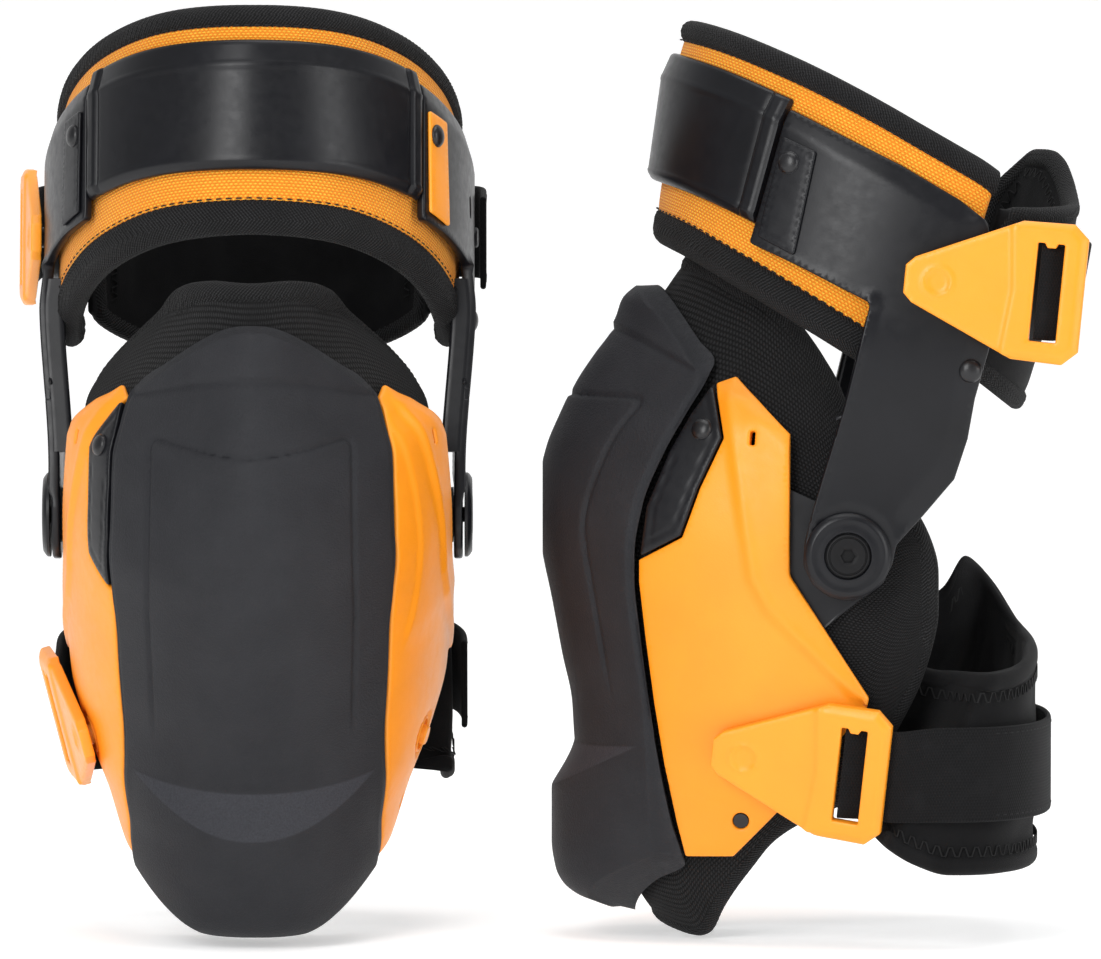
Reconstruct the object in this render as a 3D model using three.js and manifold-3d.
// A pair of thigh-support knee pads for roofing and flooring work: one for the right leg, seen from
// its front, and its mirror image for the left leg, turned so that its outer side faces forward.
// Millimetres, +Z up. Each pad is drawn in its own pad frame: x points to the outer side of the leg,
// -y is forward, z is up, and the origin is the centre of the knee hinge.
import * as THREE from "three";
import { mergeVertices } from "three/addons/utils/BufferGeometryUtils.js";
import Module from "manifold-3d";

const wasm = await Module();
wasm.setup();

// ---------------------------------------------------------------- driving dimensions
const PAD_SPACING = 232.4; // between the two hinge centres
const PAIR_X = 1.312; // centres the pair over the origin
const PAIR_Y = 7.341;
const LEFT_HINGE_Z = 155.18; // height above the resting plane
const RIGHT_HINGE_Z = 166.776; // the right pad leans forward on its toe, so its hinge is higher
const RIGHT_LEAN = 16; // degrees the whole right pad leans forward
const RIGHT_FLEX = 12; // degrees the right thigh frame is flexed back from the left one's position

const KNEEL_Y = -118.9; // flat facet in the middle of the rubber cap that takes the ground
const SHELL_WALL = 3;
const FOAM_OUT = 7; // shell surface to the outside of the knee foam
const FOAM_IN = 20; // shell surface to the inside of the knee foam
const FOAM_REAR_Y = 36; // rear limit of the knee foam's straight sides
const ARM_X = 78.2; // inner face of the thigh arm at the hinge
const ARM_WALL = 3.6;

const BOLT_R = 3; // hinge bolt shank
const BOLT_BORE_R = BOLT_R + 0.06;
const BOLT_HEAD_R = 8.5;
const BOLT_SOCKET_R = 2.9; // corner radius of its hexagon socket
const HINGE_BOSS_R = 11;
const CAP_R = 16.8; // hinge cap disc
const CAP_X = 82.2; // its inner face

const RIVET_R = 1.9;
const RIVET_BORE_R = 2.2;
const RIVET_HEAD_R = 4.2;
const RIVET_HEAD_RISE = 1.9;

const STUD_R = 4; // moulded stud that a strap buckle turns on
const STUD_BORE_R = STUD_R + 0.09;
const BUCKLE_T = 4.4;
const BUCKLE_LIFT = 1.7; // stud foot to the buckle's inner face
const WEB_SLOT = 38.4; // webbing slot in a buckle, for 38 mm webbing
const WEB_WIDTH = WEB_SLOT - 1.2;
const WEB_T = 2.6;

// ---------------------------------------------------------------- numbers
const lerp = (a, b, t) => a + (b - a) * t;
const clamp = (value, low, high) => Math.min(high, Math.max(low, value));
const rad = (degrees) => (degrees * Math.PI) / 180;
const signedPow = (value, power) => Math.sign(value) * Math.pow(Math.abs(value), power);
const vec = (x, y, z) => new THREE.Vector3(x, y, z);

// eases from 0 at start to 1 at end
function ease(start, end, value) {
  const t = clamp((value - start) / (end - start), 0, 1);
  return t * t * (3 - 2 * t);
}

// smooth curve through [key, value] rows, flat beyond its ends
function table(rows) {
  const keys = rows.map((row) => row[0]);
  const values = rows.map((row) => row[1]);
  const last = rows.length - 1;
  const rise = (i) => (values[i + 1] - values[i]) / (keys[i + 1] - keys[i]);
  const slopes = values.map((_, i) => {
    if (i === 0) return rise(0);
    if (i === last) return rise(last - 1);
    const before = rise(i - 1);
    const after = rise(i);
    return before * after <= 0 ? 0 : (2 * before * after) / (before + after);
  });
  return (key) => {
    if (key <= keys[0]) return values[0];
    if (key >= keys[last]) return values[last];
    let i = 0;
    while (key > keys[i + 1]) i++;
    const span = keys[i + 1] - keys[i];
    const t = (key - keys[i]) / span;
    const t2 = t * t;
    const t3 = t2 * t;
    return (2 * t3 - 3 * t2 + 1) * values[i]
      + (t3 - 2 * t2 + t) * span * slopes[i]
      + (-2 * t3 + 3 * t2) * values[i + 1]
      + (t3 - t2) * span * slopes[i + 1];
  };
}

// ---------------------------------------------------------------- meshes
function indexed(positions, corners) {
  const geometry = new THREE.BufferGeometry();
  geometry.setAttribute("position", new THREE.Float32BufferAttribute(positions, 3));
  geometry.setIndex(Array.from(corners));
  return geometry;
}

// turns every face over if the mesh encloses a negative volume
function facingOut(geometry) {
  const { attributes: { position }, index } = geometry;
  const corner = (i) => vec().fromBufferAttribute(position, index.getX(i));
  let volume = 0;
  for (let i = 0; i < index.count; i += 3) {
    volume += corner(i).dot(corner(i + 1).cross(corner(i + 2)));
  }
  if (volume < 0) {
    for (let i = 0; i < index.count; i += 3) {
      const second = index.getX(i + 1);
      index.setX(i + 1, index.getX(i + 2));
      index.setX(i + 2, second);
    }
  }
  return geometry;
}

// positions only, with shared vertices
function bare(geometry) {
  const copy = geometry.clone();
  for (const key of Object.keys(copy.attributes)) {
    if (key !== "position") copy.deleteAttribute(key);
  }
  return mergeVertices(copy, 1e-4);
}

// carries every vertex to place(x, y, z)
function mapped(source, place) {
  const geometry = bare(source);
  const p = geometry.attributes.position;
  for (let i = 0; i < p.count; i++) p.setXYZ(i, ...place(p.getX(i), p.getY(i), p.getZ(i)));
  return facingOut(mergeVertices(geometry, 1e-4));
}

const mirrored = (geometry) => mapped(geometry, (x, y, z) => [-x, y, z]);

// a box of nu x nv x nw cells, each corner (u, v, w in 0..1) carried to place(u, v, w)
function bentBox(nu, nv, nw, place) {
  const box = new THREE.BoxGeometry(1, 1, 1, nu, nv, nw);
  return mapped(box, (x, y, z) => place(x + 0.5, y + 0.5, z + 0.5));
}

// halves every edge longer than maxEdge, alike for both faces beside it, until none is left
function refine(geometry, maxEdge) {
  const positions = Array.from(geometry.attributes.position.array);
  let corners = Array.from(geometry.index.array);
  for (let pass = 0; pass < 8; pass++) {
    const midpoints = new Map();
    const split = [];
    const midpoint = (a, b) => {
      const delta = [0, 1, 2].map((k) => positions[3 * a + k] - positions[3 * b + k]);
      if (Math.hypot(...delta) <= maxEdge) return -1;
      const key = a < b ? `${a}_${b}` : `${b}_${a}`;
      if (!midpoints.has(key)) {
        midpoints.set(key, positions.length / 3);
        for (let k = 0; k < 3; k++) positions.push((positions[3 * a + k] + positions[3 * b + k]) / 2);
      }
      return midpoints.get(key);
    };
    for (let i = 0; i < corners.length; i += 3) {
      const face = corners.slice(i, i + 3);
      const mids = face.map((a, k) => midpoint(a, face[(k + 1) % 3]));
      const count = mids.filter((mid) => mid >= 0).length;
      // start at the split edge if it is alone, or opposite the unsplit edge if that is alone
      let start = 0;
      if (count === 1) start = mids.findIndex((mid) => mid >= 0);
      if (count === 2) start = (mids.findIndex((mid) => mid < 0) + 2) % 3;
      const [a, b, c] = [0, 1, 2].map((k) => face[(start + k) % 3]);
      const [ab, bc, ca] = [0, 1, 2].map((k) => mids[(start + k) % 3]);
      if (count === 0) split.push(a, b, c);
      else if (count === 1) split.push(a, ab, c, ab, b, c);
      else if (count === 2) split.push(a, ab, ca, ab, b, c, ab, c, ca);
      else split.push(a, ab, ca, ab, b, bc, ca, bc, c, ab, bc, ca);
    }
    corners = split;
    if (!midpoints.size) break;
  }
  return indexed(positions, corners);
}

// ---------------------------------------------------------------- solids
function solid(source) {
  const geometry = facingOut(bare(source));
  return new wasm.Manifold(new wasm.Mesh({
    numProp: 3,
    vertProperties: geometry.attributes.position.array,
    triVerts: new Uint32Array(geometry.index.array),
  }));
}
function meshOf(manifold) {
  const mesh = manifold.getMesh();
  return indexed(mesh.vertProperties, mesh.triVerts);
}
const cut = (body, tool) => meshOf(solid(body).subtract(solid(tool)));
const join = (body, other) => meshOf(solid(body).add(solid(other)));

function extrude(points, holes, depth) {
  const toVectors = (list) => list.map(([x, y]) => new THREE.Vector2(x, y));
  const shape = new THREE.Shape(toVectors(points));
  for (const hole of holes) shape.holes.push(new THREE.Path(toVectors(hole)));
  return new THREE.ExtrudeGeometry(shape, { depth, bevelEnabled: false, steps: 1 });
}

const circle = (cx, cy, radius, sides) => Array.from({ length: sides }, (_, i) => {
  const angle = (2 * Math.PI * i) / sides;
  return [cx + radius * Math.cos(angle), cy + radius * Math.sin(angle)];
});

// a sheet drawn in side view (y, z) and carried on to a surface whose outer x is outerX(y, z)
function sidePlate({ points, holes = [], outerX, wall, maxEdge }) {
  const sheet = refine(bare(extrude(points, holes, 1)), maxEdge);
  return mapped(sheet, (y, z, w) => [outerX(y, z) - (w > 0.5 ? 0 : wall), y, z]);
}

// a rod on the hinge axis between x0 and x1
function hingeRod(radius, x0, x1, sides) {
  const rod = new THREE.CylinderGeometry(radius, radius, 1, sides);
  return mapped(rod, (a, b, c) => [lerp(x0, x1, b + 0.5), a, c]);
}
const boltBore = () => hingeRod(BOLT_BORE_R, 60, 90, 16);

// a frame at origin whose columns are: along (made square to outward), their cross product, and
// the unit normal outward
function frameAt(origin, along, outward) {
  const p = along.clone().addScaledVector(outward, -along.dot(outward)).normalize();
  const q = outward.clone().cross(p);
  return new THREE.Matrix4().makeBasis(p, q, outward).setPosition(origin);
}
// a frame standing on the surface x = outerX(y, z), pointing back; slopes are taken over 1 mm
function standOn(outerX, y, z) {
  const slopeY = outerX(y + 0.5, z) - outerX(y - 0.5, z);
  const slopeZ = outerX(y, z + 0.5) - outerX(y, z - 0.5);
  return frameAt(vec(outerX(y, z), y, z), vec(0, 1, 0), vec(1, -slopeY, -slopeZ).normalize());
}
const inFrame = (frame, p, q, t) => vec(p, q, t).applyMatrix4(frame);
const column = (frame, i) => vec().setFromMatrixColumn(frame, i);

function rodAt(frame, radius, bottom, top, sides) {
  const rod = new THREE.CylinderGeometry(radius, radius, 1, sides);
  return mapped(rod, (a, b, c) => inFrame(frame, a, c, lerp(bottom, top, b + 0.5)));
}
function domeAt(frame, radius, bottom, height) {
  const steps = 3;
  const profile = [new THREE.Vector2(0, 0)];
  for (let i = 0; i <= steps; i++) {
    const angle = (i / steps) * (Math.PI / 2);
    const r = i === steps ? 0 : radius * Math.cos(angle);
    profile.push(new THREE.Vector2(r, height * Math.sin(angle)));
  }
  const dome = new THREE.LatheGeometry(profile, 12);
  return mapped(dome, (a, b, c) => inFrame(frame, a, c, bottom + b));
}
const rivetBore = (frame) => rodAt(frame, RIVET_BORE_R, -6, 8, 12);
const rivet = (frame, bottom, top, headBottom) => join(
  rodAt(frame, RIVET_R, bottom, top, 12),
  domeAt(frame, RIVET_HEAD_R, headBottom, RIVET_HEAD_RISE),
);

// ---------------------------------------------------------------- the knee shell's surface
// [z, y] front line of the shell in side view
const SHELL_FRONT = table([
  [-156, -82], [-150, -84], [-130, -92], [-110, -97], [-90, -102], [-72, -105], [-62, -106.5],
  [-44, -110], [-21, -114], [-2, -118], [14, -120], [26, -119], [39, -116], [51, -111],
  [65, -104], [76, -96.7], [90, -86], [103, -77], [112, -70],
]);
// [z, half width]
const SHELL_HALF = table([
  [-156, 38], [-145, 45], [-121, 54.5], [-101, 61.5], [-80, 70], [-60, 75.2], [-30, 76.8],
  [0, 77], [47, 76], [60, 71.5], [70, 66], [85, 57], [100, 49], [112, 44],
]);
// [z, superellipse power]: how square the section is
const SHELL_POWER = table([
  [-156, 3], [-121, 3], [-101, 2.5], [-60, 1.95], [0, 2], [39, 1.72], [70, 1.5], [112, 1.6],
]);

// the other half axis' share left on a superellipse at this ratio along one axis
const superArc = (ratio, power) => Math.pow(1 - Math.pow(ratio, power), 1 / power);

// outer x of the shell at (y, z), depth millimetres inside its surface
function shellX(y, z, depth = 0) {
  const ratio = y >= 0 ? 0 : Math.min(1, y / (SHELL_FRONT(z) + depth));
  return (SHELL_HALF(z) - depth) * superArc(ratio, SHELL_POWER(z));
}
// front y of the shell at (x, z)
function shellY(x, z, depth) {
  const ratio = Math.min(0.999, Math.abs(x) / (SHELL_HALF(z) - depth));
  return (SHELL_FRONT(z) + depth) * superArc(ratio, SHELL_POWER(z));
}
// [x, y] round the section: angle is 0 at the front centre, +-90 at the sides, more behind them
function shellPoint(angle, z, depth) {
  const turn = Math.abs(angle);
  const half = SHELL_HALF(z) - depth;
  if (turn > 90) return [Math.sign(angle) * half, ((turn - 90) / 90) * FOAM_REAR_Y];
  const power = 2 / SHELL_POWER(z);
  return [
    Math.sign(angle) * half * Math.pow(Math.sin(rad(turn)), power),
    (SHELL_FRONT(z) + depth) * Math.pow(Math.max(0, Math.cos(rad(turn))), power),
  ];
}

// ---------------------------------------------------------------- the thigh cuff's surface
// [y, z] the cuff's middle line in side view
const CUFF_MIDLINE = table([
  [-90, 168], [-74, 165], [-60, 161], [-32, 149], [0, 132.5], [16, 123.3], [40, 109.5],
  [60, 98], [100, 76],
]);
const CUFF_HALF = 86;
const CUFF_FRONT = 111; // reach forward of its centre
const CUFF_CENTRE_Y = 36;
const CUFF_POWER = 1.9; // superellipse power of its front half

// angle is 0 at the front centre, height runs up the leaning wall, inset is inward
function cuffPoint(angle, height, inset, rearHalf = {}) {
  const { reach = 57, centreY = CUFF_CENTRE_Y, power = 2.3 } = rearHalf;
  const sine = Math.sin(rad(angle));
  const cosine = Math.cos(rad(angle));
  const radius = (cosine > 0 ? CUFF_FRONT : reach) - inset;
  const exponent = 2 / (cosine > 0 ? CUFF_POWER : power);
  const y = centreY - radius * signedPow(cosine, exponent);
  const lean = rad(lerp(8, 17, ease(0, 70, Math.abs(angle))));
  return [
    (CUFF_HALF - inset) * signedPow(sine, exponent),
    y + height * Math.sin(lean),
    CUFF_MIDLINE(y) + height * Math.cos(lean),
  ];
}
// the cuff's outer x over (y, z)
function cuffX(y, z) {
  const sectionY = y - (z - CUFF_MIDLINE(y)) * 0.25;
  return CUFF_HALF * superArc(clamp((CUFF_CENTRE_Y - sectionY) / CUFF_FRONT, 0, 0.999), CUFF_POWER);
}

// ---------------------------------------------------------------- rubber cap
// [z, y] front line: toe bumper, notch, long curve, then the lip at the top
const CAP_FRONT = table([
  [-146, -88], [-142.5, -97], [-139, -106.5], [-134.5, -112], [-129, -114.5], [-118, -115.5],
  [-98, -115.6], [-89, -113.8], [-81, -110.2], [-73, -106.6], [-62, -107.5], [-44, -111],
  [-21, -115.3], [-2, -119.2], [14, -121.2], [26, -120.2], [39, -117.3], [51, -112.4],
  [65, -105.5], [76, -98.2], [86, -90.5], [91, -88.2], [98, -86], [103, -80],
]);
// [z, y] side edge
const CAP_EDGE = table([
  [-146, -60], [-121, -63.6], [-107, -67.9], [-83.5, -72.9], [-60, -76.8], [-33, -80.4],
  [-10, -82.7], [-1.6, -82.7], [18, -79.6], [39.4, -70.8], [54, -62.5], [69, -53.4], [103, -40],
]);

function frontCap() {
  return bentBox(12, 18, 1, (u, v, w) => {
    const across = 2 * u - 1;
    const side = Math.abs(across);
    const bottomZ = lerp(-146, -120.5, Math.pow(side, 2.2));
    const topZ = lerp(103, 69, Math.pow(side, 2.1));
    const z = lerp(bottomZ, topZ, v);
    const edge = CAP_EDGE(z);
    const x = across * shellX(edge, z);
    const round = CAP_FRONT(z) * superArc(Math.abs(x) / (SHELL_HALF(z) + 1.6), SHELL_POWER(z));
    const outer = z > -60 && z < 70 ? Math.max(round, KNEEL_Y) : round;
    const backing = lerp(shellY(x, z, 3.4), edge - 0.6, ease(0.8, 1, side));
    let inner = Math.max(backing, outer + 2.4);
    if (side > 0.999) inner = Math.min(inner, edge - 0.4);
    return [x, lerp(outer, inner, w), z];
  });
}

// ---------------------------------------------------------------- side shells and badge
// (y, z) outlines; only the upper front edge differs, where the outer shell makes room for the badge
const SHELL_COMMON = [
  [-51.6, 67], [-43.7, 69.8], [-22.6, 47.2], [-22.6, -8.2], [8.6, -56.2], [7.8, -60],
  [-25.4, -101], [-44.1, -120.6], [-63, -120.9], [-66.6, -107], [-71.6, -84], [-75.6, -60],
  [-79.2, -33], [-81.6, -12],
];
const UPPER_FRONT_EDGE = [[-78.4, 18], [-69.6, 39.4], [-61.3, 54]];
const OUTER_SHELL = [...SHELL_COMMON, [-81.6, -3.2], [-64.7, 6.2], [-57.7, 25.5], [-48.4, 45.2]];
const INNER_SHELL = [...SHELL_COMMON, [-81.6, -1.6], ...UPPER_FRONT_EDGE];
const BADGE = [
  [-52.4, 66], [-49.2, 45.4], [-58.5, 25.7], [-65.4, 6.8], [-81.2, -1.8],
  [-78.5, 18], [-69.6, 39.4], [-61.3, 54],
];
const BADGE_RIVET_AT = standOn(shellX, -56.5, 48.4);
const LOW_STUD_AT = standOn(shellX, -39, -78.8);

// the strap stud stands on the outer shell; the inner one has a low round boss there
function sideShell(isOuter) {
  const plate = sidePlate({
    points: isOuter ? OUTER_SHELL : INNER_SHELL,
    holes: [circle(-41.3, -106.1, 3.2, 12)],
    outerX: shellX,
    wall: SHELL_WALL,
    maxEdge: 34,
  });
  return join(plate, rodAt(LOW_STUD_AT, STUD_R, -1.6, isOuter ? 7.4 : 1.6, 16));
}
function badgePlate() {
  const outerX = (y, z) => shellX(y, z) + 0.6;
  const plate = sidePlate({ points: BADGE, outerX, wall: 2.6, maxEdge: 16 });
  return cut(plate, rivetBore(BADGE_RIVET_AT));
}
const badgeRivet = () => rivet(BADGE_RIVET_AT, -1.6, 1.2, 0.95);

// ---------------------------------------------------------------- knee foam and gel
// [degrees from the front centre, z] of the foam's edges
const KNEE_FOAM_TOP = table([
  [0, 116], [20, 115.5], [34, 113], [45, 109], [55, 104], [64, 96], [74, 84], [84, 69],
  [90, 58], [110, 42], [135, 28], [160, 16], [180, 6],
]);
const KNEE_FOAM_BOTTOM = table([
  [0, -150], [26, -153], [44, -155.6], [58, -143], [72, -126], [80, -112], [90, -101],
  [115, -88], [145, -66], [165, -50], [180, -36],
]);

function kneeFoam() {
  return bentBox(28, 9, 1, (u, v, w) => {
    const angle = lerp(-180, 180, u);
    const z = lerp(KNEE_FOAM_BOTTOM(Math.abs(angle)), KNEE_FOAM_TOP(Math.abs(angle)), v);
    const depth = lerp(FOAM_OUT, FOAM_IN, w) - 3 * ease(102, 113, z);
    const [x, y] = shellPoint(angle, z, depth);
    const flare = 1 + 0.32 * ease(92, 116, z); // widens the top edge
    return [x * flare, y, z];
  });
}
function gelInsert() {
  return bentBox(6, 6, 1, (u, v, w) => {
    const shrink = 1 - 0.12 * Math.pow(Math.abs(2 * u - 1), 3); // shorter towards its sides
    const z = lerp(-58 * shrink, 52 * shrink, v);
    const depth = lerp(FOAM_IN + 2.6, FOAM_IN + 7.5, w);
    return [...shellPoint(lerp(-38.57, 38.57, u), z, depth), z];
  });
}

// ---------------------------------------------------------------- hinge, outer side
// (y, z) outline
const STRUT = [
  [-46, 24], [-50, 8], [-50, -34], [-44, -40], [-20, -38], [6, -17], [14, -8], [15.5, 0],
  [14, 8], [7, 14], [-2, 16], [-24, 26],
];

// a plate between shell and foam that carries the hinge bolt in a round boss
function hingeStrut() {
  const outerX = (y, z) => Math.min(shellX(y, z, 3.8), 73.2);
  const plate = sidePlate({ points: STRUT, outerX, wall: 2.2, maxEdge: 26 });
  return cut(join(plate, hingeRod(HINGE_BOSS_R, 71.5, 77.8, 20)), boltBore());
}
function hingeBolt() {
  const shank = hingeRod(BOLT_R, 70.6, 83.2, 16);
  const head = hingeRod(BOLT_HEAD_R, 83, 85.4, 20);
  return cut(join(shank, head), hingeRod(BOLT_SOCKET_R, 83.9, 87, 6));
}
// a dished disc: stepped rim, recess for the bolt head
function hingeCap() {
  const boreR = BOLT_R + 0.4;
  const recessR = BOLT_HEAD_R + 0.6;
  const floorX = CAP_X + 0.5;
  const rimX = CAP_X + 3;
  // [radius, x]
  const profile = [
    [boreR, CAP_X], [CAP_R, CAP_X], [CAP_R, CAP_X + 1.4], [CAP_R - 2.6, rimX],
    [recessR, rimX], [recessR, floorX], [boreR, floorX], [boreR, CAP_X],
  ].map(([radius, x]) => new THREE.Vector2(radius, x));
  return mapped(new THREE.LatheGeometry(profile, 18), (a, b, c) => [b, a, c]);
}

// ---------------------------------------------------------------- calf wrap
const WRAP_HALF = 77;
const WRAP_REAR = 77;
const WRAP_SIDE_Y = 40; // where the straight sides meet the rear loop
const WRAP_FRONT_Y = -16;
const WRAP_T = 4.5;
// [z, y] rear edge of the foam wings
const WING_REAR = table([
  [-150, -52], [-120, -15], [-101, 0], [-88, 10], [-66, 22], [-50, 30], [-36, 36], [6, 36],
  [28, 26], [42, 16],
]);
// [fraction from the rear centre to a front end, z]: the free flap stands up on the inner side,
// and the outer side dips under the strap's buckle
const WRAP_TOP_OUTER = table([
  [0, -38], [0.3, -46], [0.5, -47], [0.65, -43], [0.78, -36], [1, -38],
]);
const WRAP_TOP_INNER = table([
  [0, -38], [0.16, -33], [0.36, -12], [0.42, -8], [0.5, -22], [0.6, -28], [0.75, -27], [1, -32],
]);
const WRAP_BOTTOM = table([[0, -126], [0.5, -126], [0.62, -122], [0.8, -108], [1, -84]]);

// neoprene from inside one foam wing, round the calf, to inside the other
function calfWrap() {
  return bentBox(30, 5, 1, (u, v, w) => {
    const along = 2 * u - 1;
    const share = Math.abs(along);
    const top = along < 0 ? WRAP_TOP_INNER : WRAP_TOP_OUTER;
    const z = lerp(WRAP_BOTTOM(share), top(share), v);
    const inset = lerp(0, WRAP_T, w);
    let y = lerp(WRAP_SIDE_Y, WRAP_FRONT_Y, (share - 0.5) * 2);
    let loopX = WRAP_HALF - inset;
    if (share < 0.5) {
      const turn = rad(share * 180);
      y = WRAP_SIDE_Y + (WRAP_REAR - WRAP_SIDE_Y - inset) * Math.pow(Math.cos(turn), 2 / 2.4);
      loopX *= Math.pow(Math.sin(turn), 2 / 2.4);
    }
    const insideFoamX = SHELL_HALF(Math.max(z, -104)) - FOAM_IN - 2.8 - inset;
    const clearOfWing = ease(WING_REAR(z) + 9, WING_REAR(z) + 27, y);
    return [Math.sign(along) * lerp(Math.min(loopX, insideFoamX), loopX, clearOfWing), y, z];
  });
}

// ---------------------------------------------------------------- thigh frame
// (y, z) outlines
const ARM = [
  [-16.8, 5], [-13.5, 18], [-10.1, 29.6], [-1.2, 58.9], [8.6, 98.7], [-20.7, 113.6],
  [-38.5, 121.8], [-31.5, 146], [-23.5, 174.4], [0.8, 162.2], [20.3, 152.5], [43.7, 138.8],
  [54.4, 130.3], [57, 106], [55.4, 82.3], [49.5, 60.8], [46.8, 45.2], [41.7, 29.6], [30, 16],
  [19, 4], [17.5, -3.5], [13.6, -11.5], [7, -16.3], [0, -17.8], [-7, -16.3], [-13.6, -11.5],
  [-17.3, -4],
];
const BAND_PLATE = [[-25.4, 163.5], [-12.5, 157.5], [-21.2, 117], [-35.4, 124.5]];
const THIGH_STUD_AT = frameAt(vec(86, 35.1, 107.2), vec(0, 1, 0), vec(1, -0.1, 0.02).normalize());
const BAND_RIVET_AT = standOn(cuffX, -22.4, 153);

// flat round the hinge, stepping out to the cuff, then following the cuff's curve at its front
function armX(y, z) {
  const base = lerp(ARM_X + ARM_WALL, CUFF_HALF, ease(18, 88, z));
  return Math.min(base, lerp(base, cuffX(y, z), ease(80, 100, z)));
}
// the strap stud stands on the outer arm; the inner arm has a low round boss there
function thighArm(isOuter) {
  const plate = sidePlate({ points: ARM, outerX: armX, wall: ARM_WALL, maxEdge: 40 });
  const stud = rodAt(THIGH_STUD_AT, STUD_R, -2, isOuter ? 7.6 : 1.4, 16);
  return join(cut(plate, boltBore()), stud);
}
const armRivet = () => domeAt(standOn(armX, 47.6, 72.2), 4.6, 0.35, 2.2);

// its ends meet the front edges of the two arms
function frontBand() {
  return bentBox(24, 2, 1, (u, v, w) => {
    let edgeInset = 0;
    if (v > 0.8) edgeInset = 2.2;
    else if (v < 0.2) edgeInset = 0.8;
    return cuffPoint(lerp(-50.2, 50.2, u), lerp(-20, 31, v), edgeInset + lerp(0, 3, w));
  });
}
function bandPlate() {
  const outerX = (y, z) => cuffX(y, z) + 1.7;
  const plate = sidePlate({ points: BAND_PLATE, outerX, wall: 1.5, maxEdge: 12 });
  return cut(plate, rivetBore(BAND_RIVET_AT));
}
const bandRivet = () => rivet(BAND_RIVET_AT, 0.3, 2.2, 1.9);

// [degrees from the front centre, height from the cuff's middle line] of the foam's edges
const THIGH_FOAM_TOP = table([[0, 44], [60, 45], [90, 45], [112, 42]]);
const THIGH_FOAM_BOTTOM = table([[0, -42.5], [25, -43], [50, -45], [80, -47], [100, -43]]);

function thighFoam() {
  return bentBox(26, 3, 1, (u, v, w) => {
    const angle = lerp(-100, 100, u);
    const turn = Math.abs(angle);
    const height = lerp(THIGH_FOAM_BOTTOM(turn), THIGH_FOAM_TOP(turn), v);
    return cuffPoint(angle, height, lerp(5.7, 14.6, w));
  });
}
// round the back of the thigh; the inner half stands higher than the half beside the buckle
function thighStrapPad() {
  return bentBox(16, 3, 1, (u, v, w) => {
    const angle = lerp(121, 239, u);
    const bulge = Math.sin(Math.PI * u);
    const flap = 22 * ease(172, 205, angle) * (1 - 0.7 * ease(222, 239, angle));
    const height = lerp(-30 - 6 * bulge, 34 + 16 * bulge + flap, v);
    const rearHalf = { reach: 80, centreY: 7, power: 2.6 };
    const [x, y, z] = cuffPoint(angle, height, lerp(6.2, 12, w), rearHalf);
    return [x, y - 0.32 * flap * v * (1 - ease(208, 232, angle)), z];
  });
}

// ---------------------------------------------------------------- buckles and straps
// (along, across) from the stud: a nose round the stud, widening to a frame with a webbing slot
const BUCKLE = [
  [-9.5, 9], [-13, 5.5], [-13, -5.5], [-9.5, -9], [31, -27], [51, -27.5], [57, -22],
  [57, 22], [51, 27.5], [31, 27],
];
const BUCKLE_SLOT = [
  [37.5, -WEB_SLOT / 2], [48, -WEB_SLOT / 2], [48, WEB_SLOT / 2], [37.5, WEB_SLOT / 2],
];
const buckleFrame = (stud) =>
  frameAt(inFrame(stud, 0, 0, BUCKLE_LIFT), vec(0, 1, -0.1), column(stud, 2));
const THIGH_BUCKLE_AT = buckleFrame(THIGH_STUD_AT);
const CALF_BUCKLE_AT = buckleFrame(LOW_STUD_AT);

function buckle(frame) {
  const holes = [BUCKLE_SLOT, circle(0, 0, STUD_BORE_R, 16)];
  return mapped(extrude(BUCKLE, holes, BUCKLE_T), (p, q, t) => inFrame(frame, p, q, t));
}

// flat webbing through stations { centre of its outer face, across, outward }
function webbing(stations) {
  const last = stations.length - 1;
  return bentBox(last, 1, 1, (u, v, w) => {
    const { centre, across, outward } = stations[Math.round(u * last)];
    return centre.clone()
      .addScaledVector(across, (v - 0.5) * WEB_WIDTH)
      .addScaledVector(outward, -w * WEB_T);
  });
}
// where webbing leaves a buckle: up through the slot, then under the rear bar
const fromSlot = (frame) => [[39, 4.5], [48.2, -0.6], [58.5, -0.6]].map(([p, t]) => ({
  centre: inFrame(frame, p, 0, t),
  across: column(frame, 1),
  outward: column(frame, 2),
}));

// (x, y) run round the back of the thigh, seen from above: close round the buckle's rear bar,
// straight across, forward on the inner side
const THIGH_RUN = [
  [92.2, 86], [91.2, 88.8], [88.6, 91], [84, 91.9], [76, 92], [50, 92], [25, 92], [0, 92],
  [-25, 92], [-50, 92], [-76, 92], [-84, 91.5], [-88, 89.6], [-90.2, 86], [-90.6, 80],
  [-90.6, 70], [-90.6, 57], [-90.6, 44],
];
const THIGH_RUN_Z = 104;

// from the buckle slot, round the back of the thigh, to the inner arm
function thighStrap() {
  const last = THIGH_RUN.length - 1;
  const run = THIGH_RUN.map(([x, y], i) => {
    const before = THIGH_RUN[Math.max(0, i - 1)];
    const after = THIGH_RUN[Math.min(last, i + 1)];
    const square = vec(after[1] - before[1], before[0] - after[0], 0).normalize();
    const tilt = 0.18 * Math.max(0, square.y);
    // the first station lies nearly flat against the buckle
    const facing = i === 0 ? vec(1, 0.05, 0).normalize() : square;
    return {
      centre: vec(x, y, THIGH_RUN_Z),
      across: vec(0, tilt, 1).normalize(),
      outward: vec(facing.x, facing.y, -tilt * facing.y).normalize(),
    };
  });
  return webbing([...fromSlot(THIGH_BUCKLE_AT).slice(0, 2), ...run]);
}
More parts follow.
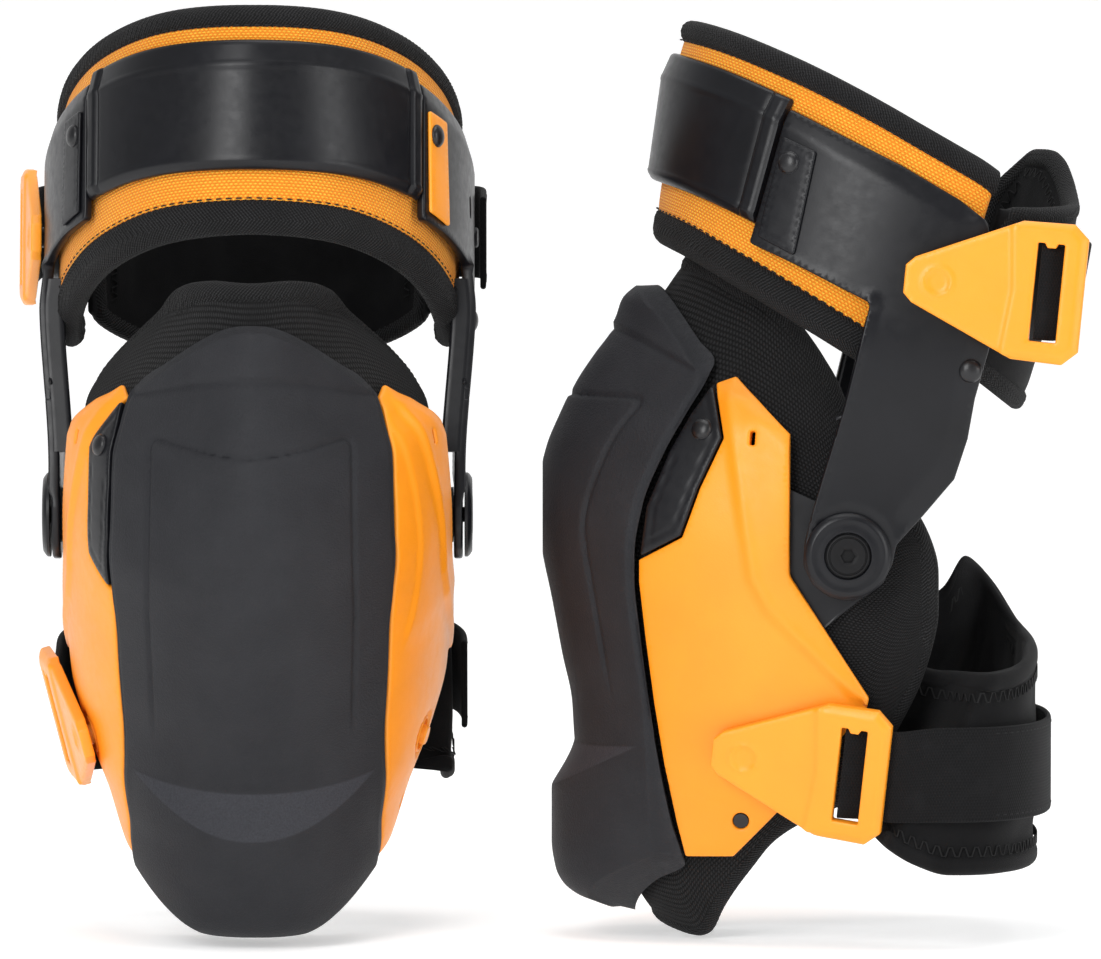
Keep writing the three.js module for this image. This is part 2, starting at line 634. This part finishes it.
// from the buckle slot, round the outside of the calf wrap, to its end on the inner side
function calfStrap() {
  const stations = fromSlot(CALF_BUCKLE_AT);
  const steps = 20;
  for (let i = 0; i <= steps; i++) {
    const angle = rad(lerp(-4, 184, i / steps));
    const cosine = Math.cos(angle);
    const sine = Math.sin(angle);
    const x = 83 * signedPow(cosine, 0.833);
    const y = WRAP_SIDE_Y + 43 * signedPow(sine, 0.833);
    stations.push({
      centre: vec(x, y, lerp(-86, -85, i / steps)),
      across: vec(0, 0, 1),
      outward: vec(cosine, Math.max(0, sine), 0),
    });
  }
  return webbing(stations);
}

// ---------------------------------------------------------------- finishes
const finish = (settings) => new THREE.MeshStandardMaterial({ metalness: 0, ...settings });
const ORANGE = finish({ color: 0xffa022, roughness: 0.45 });
const RUBBER = finish({ color: 0x2c2d31, roughness: 0.7 });
const NYLON = finish({ color: 0x24252a, roughness: 0.4 });
const FABRIC = finish({ color: 0x141416, roughness: 0.95 });
const WEB = finish({ color: 0x0f0f10, roughness: 0.9 });
const STEEL = finish({ color: 0x2a2b2e, roughness: 0.4, metalness: 0.6 });
const GEL = finish({ color: 0x2b6f8f, roughness: 0.5 });
const STRUT_FINISH = finish({ color: 0x303236, roughness: 0.6 });

// ---------------------------------------------------------------- pieces: [name, shape, finish]
// a piece on the outer side and its counterpart, mirrored, on the inner side
const bothSides = (name, build, outerFinish, innerFinish = outerFinish) => [
  [`${name}_outer`, build(true), outerFinish],
  [`${name}_inner`, mirrored(build(false)), innerFinish],
];
const KNEE_PIECES = [
  ["front_cap", frontCap(), RUBBER],
  ...bothSides("side_shell", sideShell, ORANGE),
  ["badge_plate", badgePlate(), NYLON],
  ["badge_rivet", badgeRivet(), NYLON],
  ["knee_foam", kneeFoam(), FABRIC],
  ["gel_insert", gelInsert(), GEL],
  ...bothSides("hinge_strut", hingeStrut, STRUT_FINISH),
  ...bothSides("hinge_bolt", hingeBolt, STEEL),
  ...bothSides("hinge_cap", hingeCap, NYLON),
  ["calf_wrap", calfWrap(), FABRIC],
  ["calf_buckle", buckle(CALF_BUCKLE_AT), ORANGE],
  ["calf_strap", calfStrap(), WEB],
];
const THIGH_PIECES = [
  ...bothSides("thigh_arm", thighArm, NYLON),
  ["front_band", frontBand(), NYLON],
  ...bothSides("band_plate", bandPlate, NYLON, ORANGE),
  ...bothSides("band_rivet", bandRivet, NYLON),
  ...bothSides("arm_rivet", armRivet, NYLON),
  ["thigh_foam", thighFoam(), FABRIC],
  ["thigh_buckle", buckle(THIGH_BUCKLE_AT), ORANGE],
  ["thigh_strap", thighStrap(), WEB],
  ["thigh_strap_pad", thighStrapPad(), FABRIC],
];

// ---------------------------------------------------------------- the pair
function addPieces(group, prefix, pieces) {
  for (const [name, shape, material] of pieces) {
    const mesh = new THREE.Mesh(shape, material);
    mesh.name = prefix + name;
    group.add(mesh);
  }
}
function buildPad(prefix, flex) {
  const pad = new THREE.Group();
  const thigh = new THREE.Group();
  addPieces(pad, prefix, KNEE_PIECES);
  addPieces(thigh, prefix, THIGH_PIECES);
  thigh.rotation.x = -rad(flex);
  pad.add(thigh);
  return pad;
}

const rightPad = buildPad("right_", RIGHT_FLEX);
rightPad.scale.x = -1;
const right = new THREE.Group();
right.rotation.x = rad(RIGHT_LEAN);
right.position.set(-PAD_SPACING / 2, 0, RIGHT_HINGE_Z);
right.add(rightPad);

const left = buildPad("left_", 0);
left.rotation.z = -Math.PI / 2;
left.position.set(PAD_SPACING / 2, 0, LEFT_HINGE_Z);

const pair = new THREE.Group();
pair.add(right, left);
pair.position.set(PAIR_X, PAIR_Y, 0);

export default pair;
